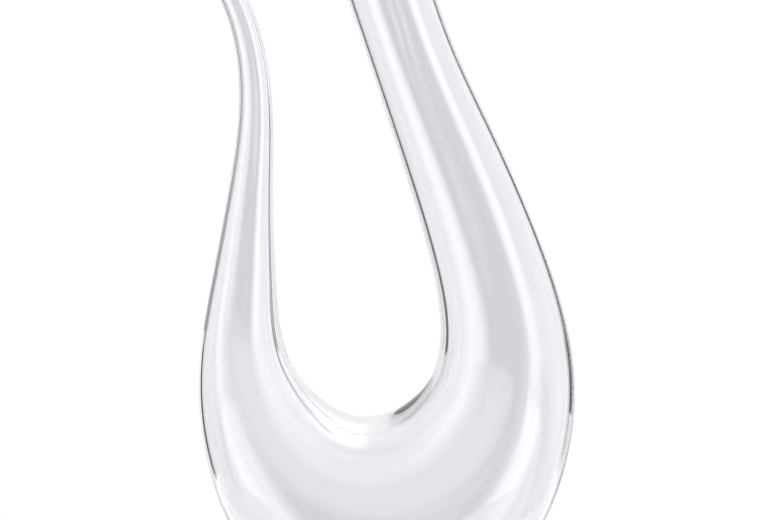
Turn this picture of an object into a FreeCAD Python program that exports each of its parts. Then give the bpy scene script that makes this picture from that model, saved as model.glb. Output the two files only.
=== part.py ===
import FreeCAD, Part
import math
import os
import Sketcher
from FreeCAD import Placement, Rotation, Vector

# U-shaped wine decanter, mouth-blown clear glass.
#
# Frame, in millimetres: +Z up, Z = 0 on the table, X = 0 and Y = 0 at the middle of the
# overall width and depth. The bent axis of the vessel lies in the XZ plane, with the narrow
# pouring horn on -X and the wide filling neck on +X. Every cross-section is an ellipse
# standing square to that axis, and the walls are lofted through those ellipses.

PARTS_FOLDER = "parts"
SHEET = "Dimensions"
# Turns in the XZ plane count from +X towards +Z. The starting turn only sets the axis.
TURN_AXIS = Vector(0, -1, 0)
STARTING_TURN = Placement(Vector(), Rotation(TURN_AXIS, 45))
ON_TABLE = 0.01

# Cross-sections from the pouring tip, round the belly, to the filling mouth: centre x,
# centre z, radius in the XZ plane, tilt of that radius above +X in degrees, and how much
# thicker the wall is on the inside of the bend, where blown glass gathers.
SECTIONS = {
    "spout_tip": (-83.0, 331.6, 6.4, 28.0, 0.0),
    "spout_curl": (-76.0, 316.0, 6.9, 20.0, 0.0),
    "spout_throat": (-67.8, 272.0, 8.4, 2.2, 0.0),
    "horn_upper": (-70.2, 224.5, 11.4, -4.5, 0.2),
    "horn_middle": (-73.8, 175.4, 16.9, -4.5, 1.2),
    "horn_root": (-74.0, 134.4, 23.4, 9.0, 2.6),
    "left_flank": (-60.5, 94.0, 35.7, 32.5, 4.6),
    "left_hip": (-43.0, 68.6, 46.1, 57.8, 5.0),
    "keel": (-3.4, 50.9, 56.1, 95.2, 4.6),
    "right_hip": (30.3, 64.5, 52.8, 122.7, 4.0),
    "right_flank": (51.9, 95.0, 44.0, 152.0, 2.8),
    "neck_root": (60.8, 125.0, 37.0, 173.7, 1.6),
    "neck_lower": (60.5, 152.0, 32.8, 186.0, 1.3),
    "neck_middle": (50.2, 194.9, 28.4, 198.0, 1.0),
    "neck_upper": (33.0, 242.4, 25.2, 201.6, 0.6),
    "neck_throat": (10.3, 301.4, 21.8, 198.0, 0.0),
    "neck_mouth": (-1.0, 335.4, 22.0, 198.0, 0.0),
}

OTHER_DIMENSIONS = {
    # Wall thickness is wall_least plus wall_growth times the radius of the section.
    "wall_least": 1.8,
    "wall_growth": 0.012,
    # Half depth along Y is the radius, less depth_trim times its excess over round_radius.
    "round_radius": 30.0,
    "depth_trim": 0.25,
    # Thick foot: dished floor inside, soft heel and shallow punt below.
    "floor_thickness": 4.5,
    "floor_dish_radius": 150.0,
    "heel_radius": 12.0,
    "punt_height": 1.8,
    "punt_radius": 12.0,
    # Heights where one zone of the glass hands over to the next, and the gap between the arms.
    "foot_joint": 8.0,
    "belly_joint": 46.0,
    "shoulder_joint": 98.0,
    "arm_joint": 145.0,
    "horn_joint": 235.0,
    "neck_joint": 240.0,
    "arm_divide": -40.0,
    # Fire-polished rims.
    "neck_rim_length": 8.0,
    "neck_rim_bead": 1.3,
    "spout_rim_length": 5.0,
    "spout_rim_bead": 1.1,
    # Room taken by the cutting blocks, and how far the hollow runs out of each mouth.
    "block_half": 150.0,
    "block_height": 250.0,
    "floor_block_top": 25.0,
    "overrun": 5.0,
}


def make_sheet(doc):
    sheet = doc.addObject("Spreadsheet::Sheet", SHEET)
    cells = dict(OTHER_DIMENSIONS)
    for section, (x, z, radius, tilt, gather) in SECTIONS.items():
        cells[section + "_x"] = x
        cells[section + "_z"] = z
        cells[section + "_radius"] = radius
        cells[section + "_tilt"] = tilt
        cells[section + "_gather"] = gather
    for row, (alias, value) in enumerate(cells.items(), start=1):
        sheet.set(f"A{row}", alias.replace("_", " "))
        sheet.set(f"B{row}", str(value))
        sheet.setAlias(f"B{row}", alias)
    doc.recompute()


def cell(alias):
    return f"<<{SHEET}>>.{alias}"


def bind(obj, expressions):
    for prop, expression in expressions.items():
        obj.setExpression(prop, expression)


def wall_of(section):
    return f"({cell('wall_least')} + {cell('wall_growth')} * {cell(section + '_radius')})"


def half_depth_of(section):
    radius = cell(section + "_radius")
    excess = f"max(0; {radius} - {cell('round_radius')})"
    return f"({radius} - {cell('depth_trim')} * {excess})"


def make_section(doc, section, hollow=False, run="0"):
    """An ellipse of the outer skin or of the hollow, slid along the axis by the run.

    The hollow is set back from the inside of the bend by half of the glass gathered there,
    and never runs deeper along Y than it is wide.
    """
    ellipse = doc.addObject("Part::Ellipse", f"{section}_ellipse")
    tilt = cell(section + "_tilt")
    cos, sin = f"cos({tilt} * 1 deg)", f"sin({tilt} * 1 deg)"
    wall = wall_of(section) if hollow else "0"
    set_back = f"{cell(section + '_gather')} / 2" if hollow else "0"
    half_width = f"({cell(section + '_radius')} - {wall} - {set_back})"
    ellipse.Placement = STARTING_TURN
    bind(ellipse, {
        "MajorRadius": half_width,
        "MinorRadius": f"min({half_depth_of(section)} - {wall}; {half_width})",
        "Placement.Base.x": f"{cell(section + '_x')} - {set_back} * {cos} + ({run}) * {sin}",
        "Placement.Base.z": f"{cell(section + '_z')} - {set_back} * {sin} - ({run}) * {cos}",
        "Placement.Rotation.Angle": tilt,
    })
    return ellipse


def make_loft(doc, label, sections):
    loft = doc.addObject("Part::Loft", label)
    loft.Sections = sections
    loft.Solid = True
    loft.Ruled = False
    return loft


def make_block(doc, label, x_from, x_to, z_from, z_to):
    """A cutting block as deep as the whole object, between expressions in X and Z."""
    block = doc.addObject("Part::Box", label)
    half = cell("block_half")
    bind(block, {
        "Length": f"({x_to}) - ({x_from})",
        "Width": f"2 * {half}",
        "Height": f"({z_to}) - ({z_from})",
        "Placement.Base.x": x_from,
        "Placement.Base.y": f"-{half}",
        "Placement.Base.z": z_from,
    })
    return block


def combine(doc, kind, label, base, tool):
    result = doc.addObject(f"Part::{kind}", label)
    result.Base = base
    result.Tool = tool
    return result


def make_skin(doc):
    """The outer form, flattened where it stands, with a soft heel round the flat."""
    skin = make_loft(doc, "skin_form", [make_section(doc, name) for name in SECTIONS])
    half = cell("block_half")
    ground = make_block(doc, "ground_block", f"-{half}", half, f"-{half}", "0")
    standing = combine(doc, "Cut", "standing_form", skin, ground)
    doc.recompute()
    heel = doc.addObject("Part::Fillet", "heel")
    heel.Base = standing
    radius = OTHER_DIMENSIONS["heel_radius"]
    heel.Edges = [
        (index, radius, radius)
        for index, edge in enumerate(standing.Shape.Edges, start=1)
        if edge.BoundBox.ZMax < ON_TABLE
    ]
    return heel


def make_hollow(doc):
    """The inner form, run out of both mouths and stopped below by the dished floor."""
    names = list(SECTIONS)
    sections = [make_section(doc, names[0], True, f"-{cell('overrun')}")]
    sections += [make_section(doc, name, True) for name in names]
    sections.append(make_section(doc, names[-1], True, cell("overrun")))
    hollow = make_loft(doc, "hollow_form", sections)
    half = cell("block_half")
    block = make_block(doc, "floor_block", f"-{half}", half, f"-{half}", cell("floor_block_top"))
    dish = doc.addObject("Part::Sphere", "floor_dish")
    bind(dish, {
        "Radius": cell("floor_dish_radius"),
        "Placement.Base.x": cell("keel_x"),
        "Placement.Base.z": f"{cell('floor_thickness')} + {cell('floor_dish_radius')}",
    })
    floor = combine(doc, "Cut", "floor_form", block, dish)
    return combine(doc, "Cut", "clear_hollow", hollow, floor)


def make_zones(doc, glass):
    """Shares the glass out between the foot, the belly and the stretches of the two arms."""
    half = cell("block_half")
    top = f"{cell('arm_joint')} + {cell('block_height')}"
    keel = cell("keel_x")
    divide = cell("arm_divide")
    foot, belly, shoulder = cell("foot_joint"), cell("belly_joint"), cell("shoulder_joint")
    arm, horn, neck = cell("arm_joint"), cell("horn_joint"), cell("neck_joint")
    extents = {
        "foot": (f"-{half}", half, f"-{half}", foot),
        "lower_belly": (f"-{half}", half, foot, belly),
        "horn_flank": (f"-{half}", keel, belly, shoulder),
        "neck_flank": (keel, half, belly, shoulder),
        "horn_shoulder": (f"-{half}", keel, shoulder, arm),
        "neck_shoulder": (keel, half, shoulder, arm),
        "horn_stem": (f"-{half}", divide, arm, horn),
        "horn_tip": (f"-{half}", divide, horn, top),
        "neck_stem": (divide, half, arm, neck),
        "neck_throat": (divide, half, neck, top),
    }
    zones = {}
    for name, extent in extents.items():
        block = make_block(doc, f"{name}_block", *extent)
        zones[name] = combine(doc, "Common", f"{name}_zone", glass, block)
    return zones


def make_foot(doc, zone):
    """The thick foot, hollowed underneath by a shallow spherical punt."""
    punt = doc.addObject("Part::Sphere", "punt")
    height = cell("punt_height")
    radius = cell("punt_radius")
    bind(punt, {
        "Radius": f"({radius} ^ 2 + {height} ^ 2) / (2 * {height})",
        "Placement.Base.x": cell("keel_x"),
        "Placement.Base.z": f"({height} ^ 2 - {radius} ^ 2) / (2 * {height})",
    })
    return combine(doc, "Cut", "foot", zone, punt)


def origin_feature(body, role):
    return next(item for item in body.Origin.OriginFeatures if item.Role == role)


def make_rim(doc, label, section, rim, half_turn):
    """A short straight ring on the mouth, its end rounded and rolled slightly outwards."""
    outer = SECTIONS[section][2]
    wall = OTHER_DIMENSIONS["wall_least"] + OTHER_DIMENSIONS["wall_growth"] * outer
    inner = outer - wall
    bead = OTHER_DIMENSIONS[rim + "_bead"]
    straight = OTHER_DIMENSIONS[rim + "_length"] - bead
    roll = math.acos((wall - bead) / bead)
    shoulder = straight - bead * math.sin(roll)

    body = doc.addObject("PartDesign::Body", label)
    profile = body.newObject("Sketcher::SketchObject", label + "_profile")
    profile.AttachmentSupport = [(origin_feature(body, "XZ_Plane"), "")]
    profile.MapMode = "FlatFace"

    bore_foot = Vector(inner, 0, 0)
    bore_top = Vector(inner, straight, 0)
    wall_top = Vector(outer, shoulder, 0)
    wall_foot = Vector(outer, 0, 0)
    circle = Part.Circle(Vector(inner + bead, straight, 0), Vector(0, 0, 1), bead)
    bore_line = profile.addGeometry(Part.LineSegment(bore_foot, bore_top))
    bead_arc = profile.addGeometry(Part.ArcOfCircle(circle, -roll, math.pi))
    wall_line = profile.addGeometry(Part.LineSegment(wall_top, wall_foot))
    foot_line = profile.addGeometry(Part.LineSegment(wall_foot, bore_foot))

    start, end, origin_point, across_axis = 1, 2, -1, -1
    add = profile.addConstraint
    add(Sketcher.Constraint("Tangent", bore_line, end, bead_arc, end))
    add(Sketcher.Constraint("Coincident", bead_arc, start, wall_line, start))
    add(Sketcher.Constraint("Coincident", wall_line, end, foot_line, start))
    add(Sketcher.Constraint("Coincident", foot_line, end, bore_line, start))
    add(Sketcher.Constraint("Vertical", bore_line))
    add(Sketcher.Constraint("Vertical", wall_line))
    add(Sketcher.Constraint("PointOnObject", bore_line, start, across_axis))
    add(Sketcher.Constraint("PointOnObject", wall_line, end, across_axis))
    drivers = {
        "bore": (
            Sketcher.Constraint("DistanceX", origin_point, start, bore_line, start, inner),
            f"{cell(section + '_radius')} - {wall_of(section)}",
        ),
        "outside": (
            Sketcher.Constraint("DistanceX", origin_point, start, wall_line, end, outer),
            cell(section + "_radius"),
        ),
        "straight": (
            Sketcher.Constraint("DistanceY", origin_point, start, bore_line, end, straight),
            f"{cell(rim + '_length')} - {cell(rim + '_bead')}",
        ),
        "bead": (
            Sketcher.Constraint("Radius", bead_arc, bead),
            cell(rim + "_bead"),
        ),
    }
    for name, (constraint, expression) in drivers.items():
        profile.renameConstraint(add(constraint), name)
        profile.setExpression(f"Constraints.{name}", expression)

    ring = body.newObject("PartDesign::Revolution", label + "_ring")
    ring.Profile = profile
    ring.ReferenceAxis = (profile, ["V_Axis"])
    ring.Angle = 360
    body.Placement = STARTING_TURN
    bind(body, {
        "Placement.Base.x": cell(section + "_x"),
        "Placement.Base.z": cell(section + "_z"),
        "Placement.Rotation.Angle": f"{cell(section + '_tilt')} - {half_turn}",
    })
    return body


def check(doc):
    for obj in doc.Objects:
        if "Invalid" in obj.State or "Error" in obj.State:
            raise RuntimeError(f"{obj.Label} did not recompute: {obj.State}")
        shape = getattr(obj, "Shape", None)
        if shape is not None and (shape.isNull() or not shape.isValid()):
            raise RuntimeError(f"{obj.Label} has no valid shape")


def export(parts):
    os.makedirs(PARTS_FOLDER, exist_ok=True)
    for label, obj in parts.items():
        if len(obj.Shape.Solids) != 1:
            raise RuntimeError(f"{label} is not one solid")
        obj.Label = label
        obj.Shape.exportStep(os.path.join(PARTS_FOLDER, label + ".step"))
        box = obj.Shape.optimalBoundingBox()
        print(f"{label:14s} {obj.Shape.Volume / 1000:7.2f} ml  "
              f"X {box.XMin:7.2f} {box.XMax:7.2f}  Y {box.YMin:7.2f} {box.YMax:7.2f}  "
              f"Z {box.ZMin:7.2f} {box.ZMax:7.2f}")


def main():
    doc = FreeCAD.newDocument("decanter")
    make_sheet(doc)
    glass = combine(doc, "Cut", "glass_form", make_skin(doc), make_hollow(doc))
    parts = make_zones(doc, glass)
    parts["foot"] = make_foot(doc, parts["foot"])
    parts["spout_rim"] = make_rim(doc, "spout_rim", "spout_tip", "spout_rim", 0)
    parts["neck_rim"] = make_rim(doc, "neck_rim", "neck_mouth", "neck_rim", 180)
    doc.recompute()
    check(doc)
    export(parts)


main()
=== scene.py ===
import math
import bpy
import numpy as np
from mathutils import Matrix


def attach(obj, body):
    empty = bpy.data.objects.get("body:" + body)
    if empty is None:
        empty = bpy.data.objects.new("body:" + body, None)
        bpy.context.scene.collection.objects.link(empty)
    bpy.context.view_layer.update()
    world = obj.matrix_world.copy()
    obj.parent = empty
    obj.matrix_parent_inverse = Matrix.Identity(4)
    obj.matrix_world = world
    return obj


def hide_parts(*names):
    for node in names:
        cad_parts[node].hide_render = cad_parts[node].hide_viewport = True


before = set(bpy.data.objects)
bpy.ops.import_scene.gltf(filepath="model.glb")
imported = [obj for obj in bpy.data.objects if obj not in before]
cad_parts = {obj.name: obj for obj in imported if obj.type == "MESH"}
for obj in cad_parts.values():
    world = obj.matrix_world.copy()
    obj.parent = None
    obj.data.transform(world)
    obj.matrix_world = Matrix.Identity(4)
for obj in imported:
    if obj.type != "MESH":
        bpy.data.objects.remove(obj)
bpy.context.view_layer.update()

MM = 0.001

# Cross-sections of the glass from the pouring tip, round the belly, to the filling mouth, in
# millimetres and degrees: centre x, centre z, radius in the XZ plane, tilt of it above +X, and
# how much thicker the wall is on the inside of the bend.
SECTIONS = np.array([
    (-83.0, 331.6, 6.4, 28.0, 0.0),
    (-76.0, 316.0, 6.9, 20.0, 0.0),
    (-67.8, 272.0, 8.4, 2.2, 0.0),
    (-70.2, 224.5, 11.4, -4.5, 0.2),
    (-73.8, 175.4, 16.9, -4.5, 1.2),
    (-74.0, 134.4, 23.4, 9.0, 2.6),
    (-60.5, 94.0, 35.7, 32.5, 4.6),
    (-43.0, 68.6, 46.1, 57.8, 5.0),
    (-3.4, 50.9, 56.1, 95.2, 4.6),
    (30.3, 64.5, 52.8, 122.7, 4.0),
    (51.9, 95.0, 44.0, 152.0, 2.8),
    (60.8, 125.0, 37.0, 173.7, 1.6),
    (60.5, 152.0, 32.8, 186.0, 1.3),
    (50.2, 194.9, 28.4, 198.0, 1.0),
    (33.0, 242.4, 25.2, 201.6, 0.6),
    (10.3, 301.4, 21.8, 198.0, 0.0),
    (-1.0, 335.4, 22.0, 198.0, 0.0),
])
KEEL_X = -3.4       # where the belly is lowest, and the middle of the foot

# The wall is WALL_LEAST plus WALL_GROWTH of the radius. A section is round up to ROUND_RADIUS, and
# a larger one is shallower from front to back, by DEPTH_TRIM of the excess.
WALL_LEAST, WALL_GROWTH = 1.8, 0.012
ROUND_RADIUS, DEPTH_TRIM = 30.0, 0.25

# Foot: where the outside turns flat, the punt under it, and the dished floor inside, which lifts
# only points lower than its reach.
HEEL_BLEND = 0.75
PUNT_HEIGHT, PUNT_RADIUS = 1.8, 13.0
FLOOR_THICKNESS, FLOOR_DISH_RADIUS, FLOOR_BLEND = 4.5, 150.0, 2.0
FLOOR_REACH = 60.0

# Rims: length of the straight ring and radius of its rounded end.
NECK_RIM_LENGTH, NECK_RIM_BEAD = 8.0, 1.3
SPOUT_RIM_LENGTH, SPOUT_RIM_BEAD = 5.0, 1.1

# Mesh: rings along the skin, points round each, and rings up a rim and over its rounded end. The
# rings are spaced by distance along the outer edge plus AXIS_SHARE of even steps along the axis.
RINGS = 400
ROUND_STEPS = 128
RIM_STEPS = 5
BEAD_STEPS = 14
TRACE_STEPS = 4000
AXIS_SHARE = 1.2

GLASS = {
    "Base Color": (0.935, 0.93, 0.96, 1),
    "Roughness": 0.0,
    "IOR": 1.52,
    "Transmission Weight": 1.0,
}
PALE_FLOOR = {
    "Base Color": (0.93, 0.93, 0.93, 1),
    "Roughness": 0.6,
}
CARD = {
    "Base Color": (0.0, 0.0, 0.0, 1),
    "Specular IOR Level": 0.0,
    "Emission Color": (1, 1, 1, 1),
}

# The studio, in metres and degrees.
FLOOR_RADIUS, FLOOR_STEPS = 0.35, 96
CAMERA_DISTANCE, CAMERA_ELEVATION = 1.6, 2.0
CAMERA_TARGET = (0.001, 0.0, 0.188)
CAMERA_CLIP = 0.05
PICTURE_WIDTH = 0.4026      # metres across the picture, at the object
SENSOR_WIDTH = 36.0         # millimetres

# The light round the glass. A panel covers a range of angles off its axis and a range of roll about
# it, 0 being up and 90 to the right. A card covers a range of azimuth from the camera, to the
# right, and of elevation. Both have soft edges. The glass is seen against the tent and the rear
# panels, and the front ones show only as reflections in it.
TENT = 0.98
ALL_ROUND = 200
RIGHT, UP = (1.0, 0.0, 0.0), (0.0, 0.0, 1.0)
CAMERA_AXIS = (0.0, -1.0, 0.0)
LAMP_AXIS = (-0.12, -0.987, 0.105)
BACK_AXIS = (0.0, 1.0, 0.0)
REAR_PANELS = [
    # axis, angle off it from and to, edge, roll centre, roll half width, edge, brightness
    (BACK_AXIS, -19, 9, 14, 0, ALL_ROUND, 1, 0.88),       # backdrop
    (CAMERA_AXIS, 120, 147, 5, -90, 45, 20, 0.7),         # left dark corner
    (CAMERA_AXIS, 118, 172, 6, 180, 55, 20, 0.84),        # below the horizon
    (CAMERA_AXIS, 132, 143, 3, 97, 13, 6, 0.3),           # right grey
    (CAMERA_AXIS, 137, 148, 3, -101, 12, 3, 0.0),         # left black flag
]
FRONT_PANELS = [
    (CAMERA_AXIS, -9, 40, 10, 0, ALL_ROUND, 1, 0.0),      # dark gap at the camera
    (CAMERA_AXIS, 52, 125, 6, 90, 45, 20, 1.35),          # right wall
    (CAMERA_AXIS, 52, 120, 6, -90, 45, 20, 1.1),          # left wall
    (LAMP_AXIS, 48, 68, 14, 0, 120, 25, 2.7),             # horseshoe of light
    (CAMERA_AXIS, 110, 134, 8, 20, 24, 12, 3.0),          # overhead lamp
]
FRONT_CARDS = [
    # azimuth centre, half width, elevation from and to, edge, brightness
    (12, 11, 2, 6.8, 2.5, 0.8),                           # strip above the camera
    (0, 22, 15, 40, 12, 0.8),                             # card above the camera
    (0, 20, -9, -1, 3, 0.8),                              # card below the camera
]
CARD_SIDE_EDGE = 3      # a card's edge in azimuth, as a multiple of its edge in elevation
# Upright cards close behind the object: (x of the left edge, z) at the foot and at the top, width,
# how far behind it stands, and brightness. The black one is cut along the line of the neck.
UPRIGHTS = {
    "black_flag": ((0.2, 0.08), (0.12, 0.45), 0.06, 0.2, 0.0),
    "grey_card": ((-0.245, 0.15), (-0.245, 0.36), 0.11, 0.12, 0.35),
}


def spline(knots, values):
    """A natural cubic spline through the values, as a function of the position."""
    gap = np.diff(knots)
    slope = np.diff(values, axis=0) / gap[:, None]
    count = len(knots)
    system = np.eye(count)
    rhs = np.zeros_like(values)
    for i in range(1, count - 1):
        system[i, i - 1:i + 2] = gap[i - 1], 2 * (gap[i - 1] + gap[i]), gap[i]
        rhs[i] = 6 * (slope[i] - slope[i - 1])
    bend = np.linalg.solve(system, rhs)

    def at(position):
        i = np.clip(np.searchsorted(knots, position) - 1, 0, count - 2)
        g = gap[i][:, None]
        a = (knots[i + 1] - position)[:, None] / g
        b = 1 - a
        return (a * values[i] + b * values[i + 1]
                + ((a ** 3 - a) * bend[i] + (b ** 3 - b) * bend[i + 1]) * g ** 2 / 6)

    return at


def wall_of(radius):
    return WALL_LEAST + WALL_GROWTH * radius


def skin_rings(inset):
    """Rings of the outer skin (inset 0) or of the hollow (inset 1): centre, half chord, half depth."""
    centre, radius, tilt = SECTIONS[:, :2], SECTIONS[:, 2], np.radians(SECTIONS[:, 3])
    wall, set_back = inset * wall_of(radius), inset * SECTIONS[:, 4] / 2
    half_width = radius - wall - set_back
    chord = np.stack([np.cos(tilt), np.sin(tilt)], axis=1)
    half_depth = radius - DEPTH_TRIM * np.maximum(0, radius - ROUND_RADIUS) - wall
    half_depth = np.minimum(half_depth, half_width)
    outer = centre - chord * (half_width + set_back)[:, None]
    inner = centre + chord * (half_width - set_back)[:, None]
    knots = np.r_[0, np.cumsum(np.hypot(*np.diff(centre, axis=0).T))]
    at = spline(knots, np.hstack([outer, inner, half_depth[:, None]]))
    trace = np.linspace(0, knots[-1], TRACE_STEPS)
    fine = at(trace)
    travel = np.r_[0, np.cumsum(np.hypot(*np.diff(fine[:, :2], axis=0).T))]
    travel += AXIS_SHARE * np.linspace(0, travel[-1], TRACE_STEPS)
    rows = at(np.interp(np.linspace(0, travel[-1], RINGS), travel, trace))
    return (rows[:, :2] + rows[:, 2:4]) / 2, (rows[:, 2:4] - rows[:, :2]) / 2, rows[:, 4]


def ring_points(centre, chord, half_depth):
    """Points of elliptical rings: centre + chord cos v in the XZ plane, half depth sin v in Y."""
    v = np.linspace(0, 2 * math.pi, ROUND_STEPS, endpoint=False)
    x = centre[:, :1] + chord[:, :1] * np.cos(v)
    z = centre[:, 1:] + chord[:, 1:] * np.cos(v)
    y = half_depth[:, None] * np.sin(v) * np.ones_like(x)
    return np.stack([x, y, z], axis=2)


def rim_profile(radius, length, bead):
    """(radius, height) pairs up the outside of a rim, over its rounded end and down the bore."""
    wall = wall_of(radius)
    bore = radius - wall
    straight = length - bead
    roll = math.acos((wall - bead) / bead)
    shoulder = straight - bead * math.sin(roll)
    outside = [(radius, shoulder * k / RIM_STEPS) for k in range(1, RIM_STEPS)]
    turn = np.linspace(-roll, math.pi, BEAD_STEPS)
    over = [(bore + bead + bead * math.cos(a), straight + bead * math.sin(a)) for a in turn]
    inside = [(bore, straight * k / RIM_STEPS) for k in range(RIM_STEPS - 1, 0, -1)]
    return np.array(outside + over + inside)


def rim_rings(section, outward, length, bead):
    """Rings of one rim, from its outside over the end into its bore."""
    x, z, radius, tilt = section[:4]
    tilt = math.radians(tilt)
    chord = np.array([math.cos(tilt), math.sin(tilt)])
    axis = outward * np.array([math.sin(tilt), -math.cos(tilt)])
    rho, height = rim_profile(radius, length, bead).T
    return np.array([x, z]) + height[:, None] * axis, rho[:, None] * chord, rho


def rise(height, blend):
    """height where positive, 0 where negative, and a parabola across the blend between."""
    return np.where(height < -blend, 0,
                    np.where(height > blend, height, (height + blend) ** 2 / (4 * blend)))


def flatten_outside(points):
    x, y, z = points[..., 0], points[..., 1], points[..., 2]
    z[:] = rise(z, HEEL_BLEND)
    off = ((x - KEEL_X) ** 2 + y ** 2) / PUNT_RADIUS ** 2
    under = (z < PUNT_HEIGHT) & (off < 1)
    z[under] += (PUNT_HEIGHT * (1 - off) ** 2)[under]


def flatten_inside(points):
    x, y, z = points[..., 0], points[..., 1], points[..., 2]
    floor = FLOOR_THICKNESS + ((x - KEEL_X) ** 2 + y ** 2) / (2 * FLOOR_DISH_RADIUS)
    low = z < FLOOR_REACH
    z[low] = (floor + rise(z - floor, FLOOR_BLEND))[low]


def new_object(name, mesh):
    obj = bpy.data.objects.new(name, mesh)
    bpy.context.scene.collection.objects.link(obj)
    return obj


def new_material(name, facts):
    """A material of the one Principled shader, with its sockets set to the facts."""
    material = bpy.data.materials.new(name)
    material.use_nodes = True
    shader = material.node_tree.nodes["Principled BSDF"]
    for socket, value in facts.items():
        shader.inputs[socket].default_value = value
    return material


def build_glass():
    """The whole vessel as one closed mesh: out along the skin, over a rim, back along the hollow."""
    outside = ring_points(*skin_rings(0))
    inside = ring_points(*skin_rings(1))
    flatten_outside(outside)
    flatten_inside(inside)
    neck = ring_points(*rim_rings(SECTIONS[-1], 1, NECK_RIM_LENGTH, NECK_RIM_BEAD))
    spout = ring_points(*rim_rings(SECTIONS[0], -1, SPOUT_RIM_LENGTH, SPOUT_RIM_BEAD))
    points = np.concatenate([outside, neck, inside[::-1], spout[::-1]]) * MM
    rings, around = points.shape[:2]
    index = np.arange(rings * around).reshape(rings, around)
    quads = np.stack([
        index,
        np.roll(index, -1, axis=0),
        np.roll(np.roll(index, -1, axis=0), -1, axis=1),
        np.roll(index, -1, axis=1),
    ], axis=2).reshape(-1, 4)
    mesh = bpy.data.meshes.new("decanter_glass")
    mesh.from_pydata(points.reshape(-1, 3).tolist(), [], quads.tolist())
    mesh.polygons.foreach_set("use_smooth", [True] * len(mesh.polygons))
    layer = mesh.uv_layers.new(name="along_and_round")
    ring = np.repeat(np.arange(rings), around)
    step = np.tile(np.arange(around), rings)
    corner_ring = np.stack([ring, ring + 1, ring + 1, ring], axis=1) / rings
    corner_step = np.stack([step, step, step + 1, step + 1], axis=1) / around
    layer.data.foreach_set("uv", np.stack([corner_ring, corner_step], axis=2).ravel())
    mesh.update()
    mesh.materials.append(new_material("clear_glass", GLASS))
    return new_object("decanter_glass", mesh)


class Maths:
    """Shader maths on the sockets of one node tree."""

    def __init__(self, tree):
        self.tree = tree

    def new(self, kind):
        return self.tree.nodes.new(kind)

    def link(self, source, target):
        if isinstance(source, bpy.types.NodeSocket):
            self.tree.links.new(source, target)
        else:
            target.default_value = source

    def math(self, operation, *values):
        made = self.new("ShaderNodeMath")
        made.operation = operation
        for source, socket in zip(values, made.inputs):
            self.link(source, socket)
        return made.outputs[0]

    def dot(self, vector, axis):
        made = self.new("ShaderNodeVectorMath")
        made.operation = "DOT_PRODUCT"
        self.link(vector, made.inputs[0])
        made.inputs[1].default_value = axis
        return made.outputs["Value"]

    def step(self, value, middle, edge):
        """0 below the middle and 1 above it, smooth over the edge."""
        made = self.new("ShaderNodeMapRange")
        made.interpolation_type = "SMOOTHSTEP"
        self.link(value, made.inputs["Value"])
        made.inputs["From Min"].default_value = middle - edge / 2
        made.inputs["From Max"].default_value = middle + edge / 2
        return made.outputs["Result"]

    def band(self, value, low, high, edge):
        return self.math("SUBTRACT", self.step(value, low, edge), self.step(value, high, edge))

    def angle(self, opposite, adjacent):
        return self.math("DEGREES", self.math("ARCTAN2", opposite, adjacent))

    def near(self, turn, centre, half_width, edge):
        """1 where a turn in degrees is within half_width of the centre, and 0 away from it."""
        apart = self.math("WRAP", self.math("SUBTRACT", turn, float(centre)), 180.0, -180.0)
        return self.math("SUBTRACT", 1.0, self.step(self.math("ABSOLUTE", apart), half_width, edge))

    def mix(self, under, over, mask):
        return self.math("MULTIPLY_ADD", self.math("SUBTRACT", over, under), mask, under)


def add_panels(m, direction, light, panels):
    """The light, with each panel laid over it in turn."""
    for axis, low, high, edge, roll, half_roll, roll_edge, brightness in panels:
        off = m.math("DEGREES", m.math("ARCCOSINE", m.dot(direction, axis)))
        to_right = (-axis[1], axis[0], 0.0)
        turn = m.angle(m.dot(direction, to_right), m.dot(direction, UP))
        mask = m.math("MULTIPLY", m.band(off, low, high, edge),
                      m.near(turn, roll, half_roll, roll_edge))
        light = m.mix(light, brightness, mask)
    return light


def add_cards(m, direction, light, cards):
    """The light, with each card laid over it in turn."""
    azimuth = m.angle(m.dot(direction, RIGHT), m.dot(direction, CAMERA_AXIS))
    elevation = m.math("DEGREES", m.math("ARCSINE", m.dot(direction, UP)))
    for centre, half_width, low, high, edge, brightness in cards:
        mask = m.math("MULTIPLY", m.band(elevation, low, high, edge),
                      m.near(azimuth, centre, half_width, edge * CARD_SIDE_EDGE))
        light = m.mix(light, brightness, mask)
    return light


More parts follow.
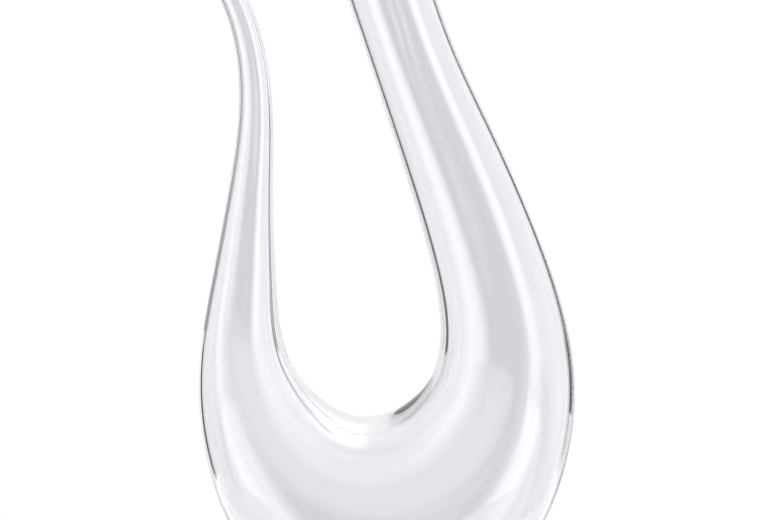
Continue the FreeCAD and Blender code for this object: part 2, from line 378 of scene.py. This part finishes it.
def studio_world():
    """A white tent with its rear panels and, in reflections alone, the front ones as well."""
    world = bpy.data.worlds.new("studio")
    bpy.context.scene.world = world
    world.use_nodes = True
    tree = world.node_tree
    tree.nodes.clear()
    m = Maths(tree)
    direction = m.new("ShaderNodeTexCoord").outputs["Generated"]
    path = m.new("ShaderNodeLightPath")
    rear = add_panels(m, direction, TENT, REAR_PANELS)
    front = add_cards(m, direction, add_panels(m, direction, rear, FRONT_PANELS), FRONT_CARDS)
    reflected = m.math("MINIMUM", path.outputs["Glossy Depth"], 1.0)
    studio = m.new("ShaderNodeBackground")
    m.link(m.mix(rear, front, reflected), studio.inputs["Color"])
    backdrop = m.new("ShaderNodeBackground")
    backdrop.inputs["Color"].default_value = (1, 1, 1, 1)
    choose = m.new("ShaderNodeMixShader")
    m.link(path.outputs["Is Camera Ray"], choose.inputs[0])
    m.link(studio.outputs[0], choose.inputs[1])
    m.link(backdrop.outputs[0], choose.inputs[2])
    m.link(choose.outputs[0], m.new("ShaderNodeOutputWorld").inputs[0])


def make_floor():
    turns = [2 * math.pi * k / FLOOR_STEPS for k in range(FLOOR_STEPS)]
    ring = [(FLOOR_RADIUS * math.cos(turn), FLOOR_RADIUS * math.sin(turn), 0) for turn in turns]
    mesh = bpy.data.meshes.new("floor")
    mesh.from_pydata(ring, [], [range(FLOOR_STEPS)])
    mesh.materials.append(new_material("pale_floor", PALE_FLOOR))
    new_object("floor", mesh)


def make_upright(name, foot, top, width, behind, brightness):
    """A flat card of even brightness that only the glass sees."""
    corners = [foot, (foot[0] + width, foot[1]), (top[0] + width, top[1]), top]
    mesh = bpy.data.meshes.new(name)
    mesh.from_pydata([(x, behind, z) for x, z in corners], [], [(0, 1, 2, 3)])
    mesh.materials.append(new_material(name, {**CARD, "Emission Strength": brightness}))
    obj = new_object(name, mesh)
    obj.visible_camera = False
    obj.visible_diffuse = False
    obj.visible_shadow = False


def make_camera():
    elevation = math.radians(CAMERA_ELEVATION)
    back_off = np.array([0, -math.cos(elevation), math.sin(elevation)])
    data = bpy.data.cameras.new("camera")
    data.sensor_width = SENSOR_WIDTH
    data.lens = SENSOR_WIDTH * CAMERA_DISTANCE / PICTURE_WIDTH
    data.clip_start = CAMERA_CLIP
    obj = new_object("camera", data)
    obj.location = np.array(CAMERA_TARGET) + CAMERA_DISTANCE * back_off
    obj.rotation_euler = (math.pi / 2 - elevation, 0, 0)
    bpy.context.scene.camera = obj


glass = build_glass()
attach(glass, "root")
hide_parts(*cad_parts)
studio_world()
make_floor()
for card, facts in UPRIGHTS.items():
    make_upright(card, *facts)
make_camera()
bpy.context.scene.view_settings.view_transform = "Standard"
